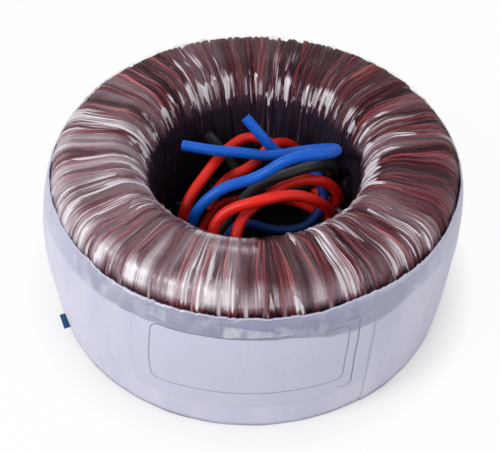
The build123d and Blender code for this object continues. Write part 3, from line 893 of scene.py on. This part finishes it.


# ---- Leads


# The points of each lead's route, from its sleeve to its free end, in mm
LEADS = {
    "blue_lead_1": [
        (-19.8, -17.4, 14), (-17.5, -17, 25), (-18, -14, 36), (-9, -11.5, 45.5),
        (2.5, -9, 47), (11.5, -8.5, 55), (24, -6, 54), (27, 4.5, 47), (18.5, 11.5, 40.5),
        (5.5, 8.5, 40), (-1.5, 6.5, 43.5), (-12, 7.5, 43.5), (-21, 9.5, 44),
    ],
    "blue_lead_2": [
        (-9.2, -25.8, 10.5), (-9.5, -21, 17.5), (-10, -12.5, 23), (-3, -3, 23.5),
        (8, -2.5, 17.5), (19.5, -2.5, 19.5), (25, 5, 27), (19.5, 13, 34), (8.5, 13, 37.5),
        (3.5, 13.5, 44.5), (-1.5, 17, 49),
    ],
    "red_lead_1": [
        (-1.9, -27.3, 22.4), (-5, -24.5, 32), (-3, -16.5, 38.5), (6.5, -5.5, 37.5),
        (13.5, -2, 40), (24.5, 0.5, 37.5), (29.5, 2, 26.5), (25.5, 10, 18.5), (19, 20, 20.5),
        (16, 24, 31.5), (7.5, 19, 38), (1, 9.5, 35), (-9.5, 6.5, 32), (-13.5, -2, 27),
    ],
    "red_lead_2": [
        (-8.3, -25.7, 24), (-12.5, -22.3, 33), (-8.7, -16.9, 41), (3.5, -17, 46),
        (13, -12.5, 44), (21, -10, 38.5), (27, -6, 27.5), (25, 4, 17.5), (20, 15, 12.5),
        (11.5, 20.5, 10.5), (-0.5, 20, 11), (-11, 15.5, 13), (-15.5, 5, 12), (-18.5, -8, 16.5),
        (-21.5, -11.5, 27), (-19.5, -8, 36.5), (-12, 2.5, 41), (-8, 15.5, 37), (0.5, 23, 38),
        (9, 24.5, 31),
    ],
    "black_lead": [
        (-15.6, -21.6, 15), (-14.4, -19, 25.2), (-6.5, -10.5, 32), (1, -5, 40),
        (12.5, -3.5, 44.5), (21, 1.5, 43), (28, 10.5, 34), (21.5, 15.5, 23), (8, 13, 20.5),
        (-2, 15, 22.5), (-7, 20.5, 30), (-13.8, 22.4, 37.7),
    ],
}


def make_lead(node, material):
    """A flexible lead: one smooth curve through its route, as thick as its insulation."""
    route = np.array(LEADS[node]) * MM
    curve = bpy.data.curves.new(node + "_cord", "CURVE")
    curve.dimensions = "3D"
    curve.bevel_depth = lead_diameter / 2
    curve.bevel_resolution = 5
    curve.resolution_u = 10
    curve.use_fill_caps = True
    spline = curve.splines.new("NURBS")
    spline.points.add(len(route) - 1)
    for point, place in zip(spline.points, route):
        point.co = (*place, 1.0)
    spline.order_u = 3
    spline.use_endpoint_u = True
    curve.materials.append(material)
    piece = bpy.data.objects.new(node + "_cord", curve)
    bpy.context.scene.collection.objects.link(piece)
    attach(piece, "root")
    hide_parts(node)


# ---- Camera, lights and floor


def make_camera():
    """The camera stands in front of the part and above it, and looks down on it."""
    data = bpy.data.cameras.new("camera")
    data.lens = camera_lens
    data.sensor_width = 36.0
    camera = bpy.data.objects.new("camera", data)
    camera.location = camera_place
    camera.rotation_euler = (math.radians(90) - camera_fall, 0, 0)
    bpy.context.scene.collection.objects.link(camera)
    bpy.context.scene.camera = camera


def soft_light(name, place, size, power):
    """A square white area light at a place, turned to the part."""
    data = bpy.data.lights.new(name, "AREA")
    data.size = size
    data.energy = power
    light = bpy.data.objects.new(name, data)
    light.location = place
    aim = Vector(part_middle) - Vector(place)
    light.rotation_euler = aim.to_track_quat("-Z", "Y").to_euler()
    bpy.context.scene.collection.objects.link(light)


def make_world():
    """An even white studio: at full strength to the camera and in reflections, dimmer as light."""
    world = bpy.data.worlds.new("studio")
    bpy.context.scene.world = world
    world.use_nodes = True
    tree = world.node_tree
    background = tree.nodes["Background"]
    path = add(tree, "ShaderNodeLightPath")
    camera_ray, clear_ray = path.outputs["Is Camera Ray"], path.outputs["Is Transmission Ray"]
    seen = math_node(tree, "ADD", camera_ray, clear_ray)
    seen = math_node(tree, "ADD", seen, path.outputs["Is Glossy Ray"])
    strength = span(tree, seen, 0, 1, 0.42, 1.0)
    tree.links.new(strength, background.inputs["Strength"])
    background.inputs["Color"].default_value = (1, 1, 1, 1)


def make_floor():
    """A plain white floor that keeps the part's shadow. It glows to the camera away from the
    part, and a disc of it under the part is nearly black, a painted shade which shows through the
    bore."""
    mesh = bpy.data.meshes.new("floor")
    signs = [(-1, -1), (1, -1), (1, 1), (-1, 1)]
    corners = [(floor_half * x, floor_half * y, 0) for x, y in signs]
    mesh.from_pydata(corners, [], [(0, 1, 2, 3)])
    floor = bpy.data.objects.new("floor", mesh)
    bpy.context.scene.collection.objects.link(floor)
    plain = {"Roughness": 0.9, "Specular IOR Level": 0.0}
    made, tree, shader = start_material("floor", plain)
    place = add(tree, "ShaderNodeTexCoord").outputs["Object"]
    distance = add(tree, "ShaderNodeVectorMath", {0: place}, operation="LENGTH").outputs["Value"]
    # painted shade under the part
    outward = span(tree, distance, *floor_painted_shade_radii)
    feed(tree, shader["Base Color"], mix(tree, outward, (0.012, 0.011, 0.014), (0.9, 0.9, 0.9)))
    glow = add(tree, "ShaderNodeEmission", {"Color": (1, 1, 1, 1), "Strength": 1.0})
    seen = add(tree, "ShaderNodeLightPath").outputs["Is Camera Ray"]
    glowing = times(tree, span(tree, distance, *glow_radii), glow_share)
    share = times(tree, seen, glowing)
    both = add(tree, "ShaderNodeMixShader", {0: share})
    tree.links.new(tree.nodes["Principled BSDF"].outputs[0], both.inputs[1])
    tree.links.new(glow.outputs[0], both.inputs[2])
    tree.links.new(both.outputs[0], tree.nodes["Material Output"].inputs["Surface"])
    mesh.materials.append(made)


# ---- Putting it together


def dress(piece, material, node):
    """Gives a new piece its material and lets it stand for a CAD node."""
    piece.data.materials.append(material)
    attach(piece, "root")
    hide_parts(node)


def recolour(node, material):
    """Gives a CAD node its material."""
    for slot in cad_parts[node].material_slots:
        slot.material = material


make_camera()
make_world()
make_floor()
soft_light("key", (-0.50, -0.30, 0.52), 0.22, 3.1)
soft_light("fill", (0.55, -0.30, 0.35), 0.5, 1.15)
soft_light("back", (-0.1, 0.55, 0.55), 0.5, 0.6)

# deep paints shade low in the bore on the red and blue leads
insulation = {
    "red": plastic(
        "red_insulation", (0.90, 0.020, 0.010), (0.82, 0.014, 0.008), 0.45, coat=0.1, deep=0.6
    ),
    "blue": plastic(
        "blue_insulation", (0.001, 0.13, 0.66), (0.001, 0.09, 0.54), 0.45, coat=0.05, deep=0.2
    ),
    "black": plastic(
        "black_insulation", (0.014, 0.014, 0.016), (0.022, 0.024, 0.026), 0.4, coat=0.1
    ),
}
for lead in LEADS:
    make_lead(lead, insulation[lead.split("_")[0]])

dress(make_turns(), enamelled_copper(), "secondary_winding")
dress(make_film(), clear_film(), "clear_film_wrap")
dress(make_band(), white_tape(), "tape_band")
dress(make_label(), label_paper(), "label")
dress(make_strip(), clear_strip_film(), "clear_band_strip")

# the anchor tape's blue is partly its own dark blue and partly painted shade, for the shade it lies
# in at the band's foot
blue_tape = plastic("blue_tape", (0.008, 0.060, 0.170), (0.012, 0.080, 0.210), 0.5, coat=0.0)
recolour("anchor_tape", blue_tape)
sleeving = plastic(
    "woven_sleeving", (0.03, 0.025, 0.022), (0.06, 0.05, 0.045), 0.7, 2500.0, 0.6, 0.0
)
for lead in LEADS:
    recolour(lead.replace("lead", "splice_sleeve"), sleeving)
pressboard = plastic("pressboard", (0.50, 0.36, 0.20), (0.42, 0.30, 0.17), 0.8, 1600.0, 0.5, 0.0)
for node in ("core_end_ring_top", "core_end_ring_bottom", "core_bore_liner", "core_rim_liner"):
    recolour(node, pressboard)
recolour("core_tape_coat", plastic("core_tape", (0.60, 0.50, 0.24), (0.52, 0.43, 0.20), 0.35))
barrier_film = plastic("barrier_film", (0.55, 0.50, 0.42), (0.48, 0.44, 0.37), 0.25)
recolour("winding_barrier_film", barrier_film)
recolour("core_strip_roll", strip_steel())
inner_wire = plastic("inner_wire", (0.22, 0.05, 0.03), (0.14, 0.03, 0.02), 0.3, 1500.0, 0.4)
recolour("primary_winding", inner_wire)

bpy.context.scene.view_settings.view_transform = "Standard"
